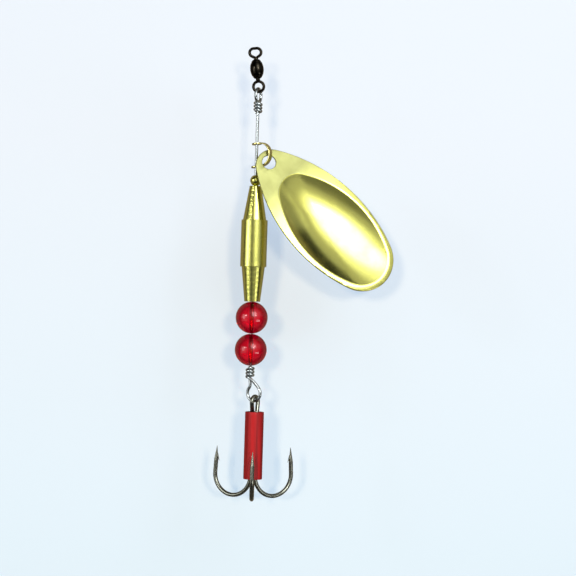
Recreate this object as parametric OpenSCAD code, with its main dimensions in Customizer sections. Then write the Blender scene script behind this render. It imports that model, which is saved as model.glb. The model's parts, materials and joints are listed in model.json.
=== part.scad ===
// Inline spinner with a long brass blade, hanging from the eye where the line is tied.
// Sizes are in millimetres. The origin is the centre of the swivel's upper eye, and +Z runs up
// to the line. The shaft wire hangs straight down, and the bowl of the blade opens towards -Y.

/* [Swivel] */
// Thickness of the wire of both swivel eyes
swivel_wire_d = 0.72; // [0.5:0.01:0.8]
// Outer width of the oval upper eye
upper_eye_w = 3.6; // [3.4:0.05:4.2]
// Outer height of the oval upper eye
upper_eye_h = 2.8; // [2.6:0.05:3.3]
// Outer diameter of the round lower eye
lower_eye_d = 3.32; // [3.2:0.02:4]
// Bare stem that shows between an eye and the barrel
neck_len = 0.38; // [0.3:0.01:0.9]
// Length of the barrel
barrel_len = 4.75; // [4.4:0.05:6]
// Diameter of the barrel at its middle
barrel_d = 3.4; // [3.3:0.05:4.2]
// Diameter of the barrel at its ends
barrel_end_d = 1.5; // [1.45:0.05:2.4]
// Thickness of the barrel's end walls
barrel_wall = 0.7; // [0.5:0.05:0.9]
// Diameter of the stems that turn in the barrel
stem_d = 1.1; // [0.8:0.02:1.2]
// Diameter of the heads inside the barrel
head_d = 1.9; // [1.6:0.05:2]
// Thickness of the heads inside the barrel
head_t = 0.6; // [0.4:0.05:0.8]
// Lean of the swivel against the shaft wire, in degrees
swivel_lean = 7.2; // [0:0.1:12]

/* [Shaft wire] */
// Thickness of the shaft wire
wire_d = 0.75; // [0.6:0.01:0.8]
// Rise of each wrap
wrap_pitch = 0.82; // [0.82:0.01:0.95]
// Outer diameter of the upper loop
upper_loop_d = 4.2; // [3.9:0.05:4.6]
// Number of wraps under the upper loop
upper_wraps = 3; // [2:1:4]
// Distance from the last upper wrap to the top of the upper loop
upper_loop_h = 6; // [5.8:0.05:7]
// Turn of the upper loop about the wire, in degrees
upper_loop_turn = 69; // [60:1:90]
// Bare wire from the last upper wrap to the middle of the clevis
free_wire = 10.7; // [8:0.05:14]
// Outer diameter of the lower loop
lower_loop_d = 4.65; // [4.6:0.05:4.9]
// Number of wraps over the lower loop
lower_wraps = 3; // [2:1:3]
// Distance from the first lower wrap to the bottom of the lower loop
lower_loop_h = 8.35; // [8:0.05:9]
// Sideways shift of the lower loop from the wire
lower_loop_shift = 1.35; // [1.2:0.05:1.45]
// Turn of the lower loop about the wire, in degrees
lower_loop_turn = -35; // [-45:1:-20]

/* [Clevis] */
// Thickness of the clevis strip
strip_t = 0.38; // [0.3:0.01:0.4]
// Width of the clevis strip in its bend
strip_w = 1.3; // [1:0.05:1.35]
// Distance between the middles of the two ears
ear_gap = 5.7; // [5.6:0.05:6.2]
// Diameter of the ears
ear_d = 2.5; // [2.2:0.05:3]
// Reach of the bend from the wire
clevis_reach = 4.28; // [4.2:0.02:4.6]
// Turn of the clevis about the wire, in degrees
clevis_turn = 36; // [0:1:90]
// Tilt of the loose clevis on the wire, in degrees
clevis_tilt = 8; // [0:0.5:8]

/* [Blade] */
// Length of the blade
blade_len = 44.5; // [40:0.5:50]
// Greatest width of the blade
blade_w = 21.5; // [20:0.1:23]
// Thickness of the blade's sheet
blade_t = 0.55; // [0.4:0.05:0.55]
// Radius of the blade's narrow end
blade_tip_r = 4.5; // [4:0.1:5.5]
// Radius of the blade's wide end
blade_end_r = 8.6; // [8:0.1:9]
// Diameter of the hole that hangs on the clevis
blade_hole_d = 3.5; // [3.5:0.05:3.8]
// Distance from the narrow end to the middle of the hole
blade_hole_in = 3; // [2.8:0.05:3.2]
// Width of the flat rim round the bowl
rim_w = 1.35; // [1:0.05:2]
// Flat land from the hole's middle to the bowl
bowl_start = 5.6; // [5:0.1:8]
// Depth of the bowl
bowl_depth = 2.5; // [2:0.1:5]
// Swing of the blade out from the wire, in degrees
blade_lean = 46.1; // [40:0.1:55]
// Roll of the blade about its length, in degrees
blade_roll = 20; // [17:0.5:20]
// Fall of the wide end away from the open side, in degrees
blade_pitch = 1; // [1:0.5:4]

/* [Brass body] */
// Diameter of the body's upper end
body_top_d = 2.95; // [2.6:0.05:3.4]
// Diameter of both cones at the barrel of the body
cone_d = 5.8; // [5:0.05:6.2]
// Diameter of the polished barrel of the body
body_d = 6.55; // [6.3:0.05:7]
// Diameter of the body's lower end
body_tail_d = 3.95; // [3.6:0.05:5]
// Length of the upper cone
upper_cone_len = 8.5; // [7:0.1:10]
// Length of the polished barrel of the body
body_mid_len = 11.7; // [10:0.1:14]
// Length of the lower cone
lower_cone_len = 8.7; // [7:0.1:11]
// Number of turned grooves on each cone
groove_count = 6; // [0:1:8]
// Depth of the turned grooves
groove_depth = 0.08; // [0.02:0.01:0.12]
// Width of the turned grooves
groove_w = 0.3; // [0.2:0.05:0.5]

/* [Beads] */
// Diameter of the small brass bearing bead
bearing_d = 2.8; // [2.4:0.05:3.2]
// Gap between the clevis and the bearing bead
bearing_gap = 1.85; // [1.2:0.05:2]
// Diameter of the two red beads
bead_d = 8; // [6.5:0.1:9]
// Diameter of the bore of everything that turns on the wire
bore_d = 0.93; // [0.9:0.01:0.95]
// Play between neighbours on the wire
play = 0.04; // [0.02:0.01:0.08]

/* [Treble hook] */
// Thickness of the hook wire
hook_wire_d = 1.05; // [0.95:0.01:1.1]
// Inner width of the hook's eye
hook_eye_in = 1.5; // [1.45:0.05:1.7]
// Turn of the hook's eye about the shank, in degrees
hook_eye_turn = 55; // [48:1:62]
// How far round the lower loop the hook's eye has slid, in degrees
hook_slip = 12.4; // [0:0.2:13]
// Length from the middle of the hook's eye to the three shanks
hook_neck = 3; // [2.9:0.1:4.5]
// Length of the straight shanks
shank_len = 15.5; // [15.5:0.1:20]
// Radius of the round bends
bend_r = 5.2; // [4.8:0.05:6]
// Length of each spear from the bend to its point
spear_len = 6.9; // [6:0.1:9]
// Length of the ground taper at each point
point_len = 3.6; // [3:0.1:4]
// Inward lean of each spear, in degrees
spear_lean = 3; // [0:0.5:5]
// Length of each barb
barb_len = 1.7; // [1.2:0.1:2]
// How far a barb stands off its spear
barb_rise = 0.45; // [0.3:0.05:0.6]

/* [Red sleeve] */
// Outer diameter of the soft sleeve
sleeve_d = 4.7; // [3.8:0.1:5]
// Length of the soft sleeve
sleeve_len = 16.8; // [10:0.1:19]
// Wall of the soft sleeve
sleeve_wall = 1; // [0.4:0.05:1]

/* [Hidden] */
$fn = 64;

// Clearances: of turning fits, of linked eyes and between the core wire and its wraps
fit_gap = 0.06;
link_gap = 0.06;
wrap_gap = 0.03;
// Free play of the hook's eye, which crosses the lower loop at a slant
hook_play = 0.18;
// Hooks of the treble lie this far apart, filled with braze
braze_gap = 0.06;
// Corners of bent wire are balls a hair thicker than the wire
ball_extra = 0.02;

// Swivel, measured down its own axis from the upper eye
eye_draw = 60;
upper_eye_r = (upper_eye_h - swivel_wire_d) / 2;
lower_eye_r = (lower_eye_d - swivel_wire_d) / 2;
barrel_top = -upper_eye_h / 2 - neck_len;
barrel_bottom = barrel_top - barrel_len;
eye_pitch = -barrel_bottom + neck_len + lower_eye_d / 2;

// Shaft wire, straight down from the middle of the lower eye
shaft_x = eye_pitch * sin(swivel_lean);
lower_eye_z = -eye_pitch * cos(swivel_lean);
upper_loop_r = (upper_loop_d - wire_d) / 2;
upper_loop_z = lower_eye_z - lower_eye_r + (swivel_wire_d + wire_d) / 2 + link_gap;
upper_wrap_z = upper_loop_z - upper_loop_h;

// Pieces on the wire, from the top down
clevis_z = upper_wrap_z - free_wire;
bearing_pole = sqrt(pow(bearing_d / 2, 2) - pow(bore_d / 2, 2));
bearing_z = clevis_z - (ear_gap + strip_t) / 2 - bearing_gap - bearing_d / 2;
body_top_z = bearing_z - bearing_pole - play;
body_tail_z = body_top_z - upper_cone_len - body_mid_len - lower_cone_len;
bead_pole = sqrt(pow(bead_d / 2, 2) - pow(bore_d / 2, 2));
upper_bead_z = body_tail_z - play - bead_pole;
lower_bead_z = upper_bead_z - bead_d - play;
lower_wrap_z = lower_bead_z - bead_pole - play - wire_d / 2;

// Lower loop and the treble hook that hangs on it
lower_loop_r = (lower_loop_d - wire_d) / 2;
hook_out = lower_loop_shift + lower_loop_r * sin(hook_slip);
hook_x = shaft_x + hook_out * cos(lower_loop_turn);
hook_y = hook_out * sin(lower_loop_turn);
hook_hang_z = lower_wrap_z - lower_loop_h + lower_loop_r * (1 - cos(hook_slip));
hook_eye_r = (hook_eye_in + hook_wire_d) / 2;
hook_eye_z = hook_hang_z + (hook_wire_d + wire_d) / 2 + hook_play - hook_eye_r;
hook_eye_join = 10;
corner_d = hook_wire_d + ball_extra;
shank_top_z = hook_eye_z - hook_neck;
// The sleeve reaches a little past both ends of the shanks, which stay straight inside it
sleeve_past_bend = 0.8;
sleeve_past_top = 0.5;
shank_run = max(shank_len, sleeve_len - sleeve_past_bend - sleeve_past_top);
bend_z = shank_top_z - shank_run;
bundle_r = (hook_wire_d + braze_gap) / sqrt(3);
// Bearings of the three hooks round the shank
double_turns = [30, 150];
single_turn = -90;

// Place of the blade's hole, measured from the middle of the clevis
hole_inset = 0.616;
hole_side = 0.35;
hole_drop = 1.8;
hole_out = clevis_reach - hole_inset;

// The blade is ruled into this many steps from end to end and from rim to bowl bottom
blade_steps = 36;
bowl_rings = 8;

// How full the bowl is, and the share of its length at which it is deepest
bowl_fullness = 2.1;
bowl_deep_at = 0.4;

function unit(v) = v / norm(v);

// Point on a cubic curve from a to d with the handles b and c
function curve_at(a, b, c, d, t) =
    pow(1 - t, 3) * a + 3 * pow(1 - t, 2) * t * b + 3 * (1 - t) * t * t * c + pow(t, 3) * d;

// Path of a wrapped loop that stands up along +Z: up the axis, round the loop, across the front
// and down round the axis. The last wrap lies at z = 0 and the top of the loop at z = height.
function loop_path(height, loop_r, shift, wraps) =
    let (
        wrap_r = wire_d + wrap_gap,
        first_wrap = wraps * wrap_pitch,
        start = [0, 0, first_wrap + 0.15],
        centre = [shift, 0, height - loop_r],
        span = norm(centre - start),
        join = min(150, 100 + asin(min(1, loop_r / span))),
        left = centre + loop_r * [-sin(join), 0, cos(join)],
        right = centre + loop_r * [sin(join), 0, cos(join)],
        cross_over = [0, wrap_r, first_wrap],
        handle = norm(left - start) / 2.6
    )
    concat(
        [start - [0, 0, 0.6]],
        [for (t = [0 : 0.2 : 0.9])
            curve_at(start, start + [0, 0, handle], left - handle * [cos(join), 0, sin(join)], left, t)],
        [for (a = [-join : join / 12 : join - 1])
            centre + loop_r * [sin(a), 0, cos(a)]],
        [for (t = [0 : 0.125 : 0.99])
            curve_at(right, right + handle * [cos(join), 0, -sin(join)],
                cross_over + [0.9 * handle, 0, 0.25 * handle], cross_over, t)],
        [for (a = [0 : 22.5 : 360 * wraps])
            [-wrap_r * sin(a), wrap_r * cos(a), first_wrap - wrap_pitch * a / 360]]
    );

function tangent(path, i) = unit(path[min(i + 1, len(path) - 1)] - path[max(i - 1, 0)]);

function squared_off(v, axis) = unit(v - (v * axis) * axis);

// Side vectors carried along a path without twisting
function side_vectors(path) = [
    for (i = 0, side = squared_off([0.2, 1, 0.3], tangent(path, 0));
        i < len(path);
        i = i + 1, side = i < len(path) ? squared_off(side, tangent(path, i)) : side)
    side
];

// Round wire swept along a path
module swept_wire(path, d, sides = 10) {
    side = side_vectors(path);
    last = len(path) - 1;
    points = [
        for (i = [0 : last], k = [0 : sides - 1])
        path[i] + d / 2 * (cos(360 * k / sides) * side[i]
            + sin(360 * k / sides) * cross(tangent(path, i), side[i]))
    ];
    skin = [
        for (i = [0 : last - 1], k = [0 : sides - 1])
        let (k2 = (k + 1) % sides)
        each [
            [i * sides + k, (i + 1) * sides + k, (i + 1) * sides + k2],
            [i * sides + k, (i + 1) * sides + k2, i * sides + k2]
        ]
    ];
    start_cap = [for (k = [0 : sides - 1]) k];
    end_cap = [for (k = [sides - 1 : -1 : 0]) last * sides + k];
    polyhedron(points, concat([start_cap], skin, [end_cap]), convexity = 6);
}

// Straight round rod between two points
module rod(from, to, d) {
    v = to - from;
    translate(from)
        rotate([0, acos(v.z / norm(v)), atan2(v.y, v.x)])
            cylinder(d = d, h = norm(v));
}

// Part of a round ring in the XZ plane, from one bearing to another
module ring_arc(r, d, from, to) {
    rotate([90, 0, 0])
        rotate([0, 0, from])
            rotate_extrude(angle = to - from)
                translate([r, 0])
                    circle(d = d);
}

// --- Swivel ---

// Turns what hangs straight under the upper eye into the lean of the swivel
module on_swivel() {
    rotate([0, -swivel_lean, 0])
        children();
}

// Eye whose wire runs over the top, bends round each side and closes in straight to the stem
module drawn_eye(r, straight, d) {
    bend_end = [straight / 2 + r * cos(eye_draw), 0, -r * sin(eye_draw)];
    run = (bend_end.x - stem_d / 4) / sin(eye_draw);
    leg_end = bend_end - run * [sin(eye_draw), 0, cos(eye_draw)];
    translate([-straight / 2, 0, r])
        rotate([0, 90, 0])
            cylinder(d = d, h = straight);
    for (turn = [0, 180])
        rotate([0, 0, turn]) {
            translate([straight / 2, 0, 0])
                ring_arc(r, d, -eye_draw, 90);
            rod(leg_end, bend_end, d);
            translate(bend_end)
                sphere(d = d + ball_extra);
            translate(leg_end)
                sphere(d = d + ball_extra);
        }
}

// Stem that runs down from an eye's wire into the barrel, with its head
module headed_stem(eye_half, wire_half) {
    shoulder = eye_half + neck_len + barrel_wall + fit_gap;
    translate([0, 0, -shoulder])
        cylinder(d = stem_d, h = shoulder - eye_half + wire_half);
    translate([0, 0, -shoulder - head_t])
        cylinder(d = head_d, h = head_t);
}

module swivel_upper_eye() {
    color([0.12, 0.11, 0.09])
        on_swivel() {
            drawn_eye(upper_eye_r, upper_eye_w - upper_eye_h, swivel_wire_d);
            headed_stem(upper_eye_h / 2, swivel_wire_d / 2);
        }
}

module swivel_lower_eye() {
    color([0.12, 0.11, 0.09])
        on_swivel()
            translate([0, 0, -eye_pitch]) {
                ring_arc(lower_eye_r, swivel_wire_d, 0, 360);
                mirror([0, 0, 1])
                    headed_stem(lower_eye_d / 2, swivel_wire_d / 2);
            }
}

// Radius of the barrel's outside at a height from its middle: part of a long ellipse
function barrel_r(z) =
    let (share = barrel_end_d / barrel_d, long_half = barrel_len / 2 / sqrt(1 - share * share))
    barrel_d / 2 * sqrt(1 - pow(z / long_half, 2));

module swivel_barrel() {
    half = barrel_len / 2;
    hollow = half - barrel_wall;
    color([0.12, 0.11, 0.09])
        on_swivel()
            translate([0, 0, (barrel_top + barrel_bottom) / 2])
                difference() {
                    rotate_extrude()
                        polygon(concat(
                            [[0, -half]],
                            [for (k = [-8 : 8]) [barrel_r(half * k / 8), half * k / 8]],
                            [[0, half]]));
                    cylinder(d = stem_d + 2 * fit_gap, h = barrel_len + 1, center = true);
                    cylinder(d = head_d + 2 * fit_gap, h = 2 * hollow, center = true);
                }
}

// --- Shaft wire ---

module on_shaft(z = 0) {
    translate([shaft_x, 0, z])
        children();
}

module shaft_wire() {
    upper_end = upper_wrap_z + upper_wraps * wrap_pitch;
    lower_end = lower_wrap_z - lower_wraps * wrap_pitch;
    color([0.75, 0.77, 0.78])
        on_shaft() {
            translate([0, 0, lower_end])
                cylinder(d = wire_d, h = upper_end - lower_end);
            translate([0, 0, upper_wrap_z])
                rotate([0, 0, upper_loop_turn])
                    swept_wire(loop_path(upper_loop_h, upper_loop_r, 0, upper_wraps), wire_d - 0.01);
            translate([0, 0, lower_wrap_z])
                rotate([0, 0, lower_loop_turn])
                    mirror([0, 1, 0])
                        mirror([0, 0, 1])
                            swept_wire(loop_path(lower_loop_h, lower_loop_r, lower_loop_shift, lower_wraps),
                                wire_d - 0.01);
        }
}

// --- Clevis and blade ---

// Flat strip bent round to two arms, seen from the side
module clevis_outline() {
    bend = ear_gap / 2;
    centre = clevis_reach - bend;
    difference() {
        union() {
            translate([centre, 0])
                circle(r = bend + strip_t / 2);
            translate([0, -bend - strip_t / 2])
                square([centre, 2 * bend + strip_t]);
        }
        translate([centre, 0])
            circle(r = bend - strip_t / 2);
        translate([-ear_d, -bend + strip_t / 2])
            square([ear_d + centre, 2 * bend - strip_t]);
    }
}

module clevis() {
    ear_shift = ear_gap / 2 * tan(clevis_tilt);
    color([0.80, 0.68, 0.28])
        on_shaft(clevis_z)
            difference() {
                rotate([0, 0, -clevis_turn])
                    rotate([0, -clevis_tilt, 0]) {
                        rotate([90, 0, 0])
                            linear_extrude(strip_w, center = true)
                                clevis_outline();
                        for (side = [-1, 1])
                            translate([side * ear_shift, 0, side * ear_gap / 2])
                                cylinder(d = ear_d, h = strip_t, center = true);
                    }
                cylinder(d = bore_d, h = 2 * ear_gap, center = true);
            }
}

// Puts a blade that lies flat in the XY plane, hole at the origin, on its clevis
module on_clevis() {
    on_shaft(clevis_z)
        rotate([0, 0, -clevis_turn])
            translate([hole_out, hole_side, -hole_drop])
                rotate([0, 0, clevis_turn])
                    rotate([0, 90 - blade_lean, 0])
                        rotate([90, 0, 0])
                            rotate([-blade_roll, 0, 0])
                                rotate([0, blade_pitch, 0])
                                    children();
}

// Middle and radius of the long side arc of an egg whose end circles lie span apart:
// [distance of its middle from the narrow end's circle, its depth behind the axis]
function side_arc(span, tip_r, end_r, half_w) =
    let (
        a = half_w - tip_r,
        b = half_w - end_r,
        q = (b - a) / a,
        rest = b * b - a * a - (b - a) * a - span * span,
        along = (-span + sqrt(span * span - q * rest)) / q
    )
    [along, (along * along - a * a) / (2 * a)];

// Half the width of an egg outline at a distance x from its narrow end
function egg_half(x, long, tip_r, end_r, half_w) =
    let (
        arc = side_arc(long - tip_r - end_r, tip_r, end_r, half_w),
        arc_r = half_w + arc[1],
        middle = tip_r + arc[0],
        tip_x = tip_r - tip_r * arc[0] / (arc_r - tip_r),
        end_c = long - end_r,
        end_x = end_c + end_r * (end_c - middle) / (arc_r - end_r)
    )
    x <= tip_x ? sqrt(max(0, tip_r * tip_r - pow(x - tip_r, 2)))
    : x >= end_x ? sqrt(max(0, end_r * end_r - pow(x - end_c, 2)))
    : sqrt(arc_r * arc_r - pow(x - middle, 2)) - arc[1];

// Closed outline of an egg, drawn from its narrow end at start_x
function egg_outline(start_x, long, tip_r, end_r, half_w) = [
    for (k = [0 : 2 * blade_steps - 1])
    let (
        x = long * (1 - cos(180 * k / blade_steps)) / 2,
        half = egg_half(x, long, tip_r, end_r, half_w)
    )
    [start_x + x, k <= blade_steps ? -half : half]
];

module blade() {
    rim = egg_outline(-blade_hole_in, blade_len, blade_tip_r, blade_end_r, blade_w / 2);
    bowl_len = blade_len - blade_hole_in - bowl_start - rim_w;
    bowl_edge = egg_outline(bowl_start, bowl_len, blade_tip_r + 0.8, blade_end_r - rim_w, blade_w / 2 - rim_w);
    middle = [bowl_start + bowl_deep_at * bowl_len, 0];
    round = len(rim);
    // Rings of one face, from the rim to the ring round the bowl's bottom
    face = concat(
        [for (p = rim) [p.x, p.y, 0]],
        [for (ring = [0 : bowl_rings - 1], p = bowl_edge)
            let (share = 1 - ring / bowl_rings, q = middle + share * (p - middle))
            [q.x, q.y, -bowl_depth * (1 - pow(share, bowl_fullness))]],
        [[middle.x, middle.y, -bowl_depth]]
    );
    count = len(face);
    points = concat(
        [for (p = face) p + [0, 0, blade_t / 2]],
        [for (p = face) p - [0, 0, blade_t / 2]]
    );
    upper = [
        for (ring = [0 : bowl_rings - 1], k = [0 : round - 1])
        let (a = ring * round + k, b = ring * round + (k + 1) % round)
        each [[a, a + round, b + round], [a, b + round, b]]
    ];
    upper_bottom = [
        for (k = [0 : round - 1])
        [bowl_rings * round + k, count - 1, bowl_rings * round + (k + 1) % round]
    ];
    edge = [
        for (k = [0 : round - 1])
        let (k2 = (k + 1) % round)
        each [[k, k2, count + k2], [k, count + k2, count + k]]
    ];
    top_side = concat(upper, upper_bottom);
    under_side = [for (f = top_side) [f[2] + count, f[1] + count, f[0] + count]];
    color([0.80, 0.76, 0.36])
        on_clevis()
            difference() {
                polyhedron(points, concat(top_side, under_side, edge), convexity = 4);
                cylinder(d = blade_hole_d, h = 4 * blade_t, center = true);
            }
}

// --- Pieces that turn on the wire ---

module bored_ball(d) {
    difference() {
        sphere(d = d);
        cylinder(d = bore_d, h = d + 1, center = true);
    }
}

module bearing_bead() {
    color([0.78, 0.66, 0.30])
        on_shaft(bearing_z)
            bored_ball(bearing_d);
}

module upper_red_bead() {
    color([0.85, 0.08, 0.14])
        on_shaft(upper_bead_z)
            bored_ball(bead_d);
}

module lower_red_bead() {
    color([0.85, 0.08, 0.14])
        on_shaft(lower_bead_z)
            bored_ball(bead_d);
}

// Points of a cone's side with its grooves, from [radius, z] to [radius, z]
function grooved_side(from, to) = concat(
    [from],
    [for (k = [1 : 1 : groove_count])
        let (
            at = k / (groove_count + 1),
            half = groove_w / 2 / norm(to - from),
            top = from + (at - half) * (to - from),
            bottom = from + (at + half) * (to - from)
        )
        each [top, (top + bottom) / 2 - [groove_depth, 0], bottom]],
    [to]
);

module brass_body() {
    upper_step = -upper_cone_len;
    lower_step = upper_step - body_mid_len;
    tail = lower_step - lower_cone_len;
    side = concat(
        [[0, 0]],
        grooved_side([body_top_d / 2, 0], [cone_d / 2, upper_step]),
        [[body_d / 2, upper_step], [body_d / 2, lower_step]],
        grooved_side([cone_d / 2, lower_step], [body_tail_d / 2, tail]),
        [[0, tail]]
    );
    color([0.80, 0.68, 0.28])
        on_shaft(body_top_z)
            difference() {
                rotate_extrude()
                    polygon(side);
                translate([0, 0, tail - 1])
                    cylinder(d = bore_d, h = 2 - tail);
            }
}

// --- Treble hook ---

module on_treble(z = 0) {
    translate([hook_x, hook_y, z])
        children();
}

// Bend, spear, point and barb of one hook that reaches out along +X, shank end at the origin
module hook_end() {
    translate([bend_r, 0, 0])
        ring_arc(bend_r, hook_wire_d, 180, 360);
    translate([2 * bend_r, 0, 0])
        rotate([0, -spear_lean, 0]) {
            sphere(d = corner_d);
            cylinder(d = hook_wire_d, h = spear_len - point_len);
            translate([0, 0, spear_len - point_len]) {
                cylinder(d1 = hook_wire_d, d2 = 0.1, h = point_len);
                rotate([90, 0, 0])
                    linear_extrude(0.36, center = true)
                        polygon([
                            [0, barb_len],
                            [-hook_wire_d / 2 - barb_rise, -0.2],
                            [-hook_wire_d / 4, 0.1]
                        ]);
            }
        }
}

// One hook with its straight shank, at its bearing round the treble's axis
module shanked_hook(turn, shank_h) {
    on_treble(bend_z)
        rotate([0, 0, turn])
            translate([bundle_r, 0, 0]) {
                cylinder(d = hook_wire_d, h = shank_h);
                hook_end();
            }
}

module treble_double_hook() {
    color([0.30, 0.28, 0.22]) {
        on_treble(hook_eye_z)
            rotate([0, 0, hook_eye_turn])
                ring_arc(hook_eye_r, hook_wire_d, -hook_eye_join, 180 + hook_eye_join);
        for (side = [0, 1]) {
            // Each leg of the eye runs down to the shank on its own side
            eye_turn = hook_eye_turn + 180 * side;
            out = hook_eye_r * cos(hook_eye_join);
            leg_top = [out * cos(eye_turn), out * sin(eye_turn), hook_eye_z - hook_eye_r * sin(hook_eye_join)];
            leg_end = [bundle_r * cos(double_turns[side]), bundle_r * sin(double_turns[side]), shank_top_z];
            on_treble() {
                rod(leg_end, leg_top, hook_wire_d);
                translate(leg_top)
                    sphere(d = corner_d);
                translate(leg_end)
                    sphere(d = corner_d);
            }
            shanked_hook(double_turns[side], shank_run);
        }
    }
}

module treble_single_hook() {
    shank_h = shank_run - hook_wire_d / 2;
    color([0.30, 0.28, 0.22]) {
        shanked_hook(single_turn, shank_h);
        on_treble(bend_z + shank_h)
            rotate([0, 0, single_turn])
                translate([bundle_r, 0, 0])
                    sphere(d = hook_wire_d);
    }
}

// Braze that fills the grooves between the three shanks
module treble_braze() {
    braze_end = 0.8;
    color([0.45, 0.38, 0.22])
        on_treble(bend_z + braze_end)
            linear_extrude(shank_run - 2 * braze_end)
                difference() {
                    circle(r = 0.8 * (bundle_r + hook_wire_d / 2));
                    for (turn = concat(double_turns, [single_turn]))
                        rotate(turn)
                            translate([bundle_r, 0])
                                circle(d = hook_wire_d);
                }
}

module hook_sleeve() {
    color([0.78, 0.14, 0.17])
        on_treble(bend_z - sleeve_past_bend)
            difference() {
                cylinder(d = sleeve_d, h = sleeve_len);
                translate([0, 0, -1])
                    cylinder(d = sleeve_d - 2 * sleeve_wall, h = sleeve_len + 2);
            }
}

swivel_upper_eye();
swivel_barrel();
swivel_lower_eye();
shaft_wire();
clevis();
blade();
bearing_bead();
brass_body();
upper_red_bead();
lower_red_bead();
treble_double_hook();
treble_single_hook();
treble_braze();
hook_sleeve();
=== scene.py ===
# %% [markdown]
# # An inline spinner for fishing
#
# The lure hangs by the eye of its swivel, at the origin, and everything else hangs below it.
# From the top down: a barrel swivel, a looped steel shaft, a clevis with its spoon blade, a small
# bearing ball, a turned brass body, two clear red beads, and a treble hook in a red sleeve.
# The finished model of its mechanism is loaded first. Each piece made here stands for one solid
# of that model, and rides on the same moving body.

# %% The frame and its box
import json
from math import acos, asin, atan2, cos, degrees, pi, radians, sin, sqrt, tan, tau

import bmesh
import bpy
from mathutils import Matrix, Vector


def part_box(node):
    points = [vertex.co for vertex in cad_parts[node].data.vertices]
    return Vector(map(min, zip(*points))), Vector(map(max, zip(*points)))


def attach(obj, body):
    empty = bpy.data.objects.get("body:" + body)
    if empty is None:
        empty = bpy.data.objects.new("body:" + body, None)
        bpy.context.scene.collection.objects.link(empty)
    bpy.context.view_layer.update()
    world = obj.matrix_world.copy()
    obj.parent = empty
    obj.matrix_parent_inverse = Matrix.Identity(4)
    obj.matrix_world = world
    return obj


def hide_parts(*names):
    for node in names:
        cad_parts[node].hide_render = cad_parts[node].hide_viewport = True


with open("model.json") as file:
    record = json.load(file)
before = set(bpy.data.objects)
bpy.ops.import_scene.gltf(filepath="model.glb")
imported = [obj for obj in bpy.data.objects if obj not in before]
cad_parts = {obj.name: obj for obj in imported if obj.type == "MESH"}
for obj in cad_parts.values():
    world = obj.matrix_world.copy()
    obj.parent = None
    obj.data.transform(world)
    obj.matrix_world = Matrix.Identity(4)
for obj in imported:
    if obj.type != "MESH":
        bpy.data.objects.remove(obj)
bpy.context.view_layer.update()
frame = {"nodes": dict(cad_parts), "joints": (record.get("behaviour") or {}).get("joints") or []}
joints = {j["name"]: j for j in frame["joints"]}

# %% [markdown]
# ## Working in millimetres
#
# The frame is in metres, but a lure is drawn in millimetres. So every mesh is shaped in
# millimetres and made a thousand times smaller once, when it becomes an object. The places of
# the pieces come from the boxes and joint positions of the frame, so nothing is fitted by eye.

# %% Places on the shaft
mm_per_m = 1000


def place(joint):
    """Position of a joint, in millimetres."""
    return Vector(joints[joint]["pos_m"]) * mm_per_m


def node_box(node):
    """Lowest and highest corner of a solid, in millimetres."""
    low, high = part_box(node)
    return low * mm_per_m, high * mm_per_m


def turn_by(angle, axis):
    """A turn in degrees about an axis."""
    return Matrix.Rotation(radians(angle), 4, axis)


def stretch(x, y):
    """A stretch along X and Y."""
    return Matrix.Diagonal((x, y, 1, 1))


shaft_x = place("body_spin").x
lean_axis = Vector(joints["barrel_spin"]["axis"])
lean = atan2(lean_axis.x, lean_axis.z)
on_swivel = Matrix.Rotation(lean, 4, "Y")
print(f"shaft at x = {shaft_x:.2f} mm, swivel leans {abs(degrees(lean)):.1f} degrees")

# %% [markdown]
# ## Helpers for meshes
#
# A mesh operator hands back all that it made in one list, and the next one often wants only a
# part of it. Three helpers pick that part out. The others extrude, bevel and join.

# %% Parts of a mesh
def verts_of(geom):
    """The vertices among what an operator made."""
    return [g for g in geom if isinstance(g, bmesh.types.BMVert)]


def edges_of(geom):
    """The edges that an operator left at its open end."""
    return [g for g in geom if isinstance(g, bmesh.types.BMEdge) and len(g.link_faces) < 2]


def sharper_than(angle, bm):
    """The edges whose two faces meet at more than an angle in degrees."""
    return [e for e in bm.edges if e.is_manifold and e.calc_face_angle(0) > radians(angle)]


def extruded(bm, edges, by):
    """What comes of extruding edges by a vector."""
    made = bmesh.ops.extrude_edge_only(bm, edges=edges)["geom"]
    bmesh.ops.translate(bm, vec=by, verts=verts_of(made))
    return made


def break_edges(bm, edges, offset, segments, clamp=False):
    """Rounds edges with a bevel."""
    bmesh.ops.bevel(bm, geom=edges, offset=offset, segments=segments, profile=0.5, affect="EDGES",
                    material=-1, clamp_overlap=clamp)


def add_mesh(bm, other):
    """Puts another mesh into this one, and frees it."""
    scratch = bpy.data.meshes.new("scratch")
    other.to_mesh(scratch)
    other.free()
    bm.from_mesh(scratch)
    bpy.data.meshes.remove(scratch)


# %% [markdown]
# ## From a mesh to a piece
#
# All pieces end the same way: doubles merged, faces pointing out, smooth shading that breaks
# only at real corners, the material, and the body that the piece rides on. One helper does
# that, so each piece's own cell is only about its shape.

# %% Finishing a piece
same_point = 1e-4


def add_object(name, data):
    """A new object in the scene."""
    made = bpy.data.objects.new(name, data)
    bpy.context.scene.collection.objects.link(made)
    return made


def mesh_object(bm, name, materials):
    """An object from a finished mesh."""
    mesh = bpy.data.meshes.new(name)
    bm.to_mesh(mesh)
    bm.free()
    for material in materials:
        mesh.materials.append(material)
    return add_object(name, mesh)


def tidy_mesh(bm):
    """Merges points that coincide, in millimetres, and turns all faces outwards."""
    bmesh.ops.remove_doubles(bm, verts=bm.verts, dist=same_point)
    bmesh.ops.recalc_face_normals(bm, faces=bm.faces)


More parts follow.
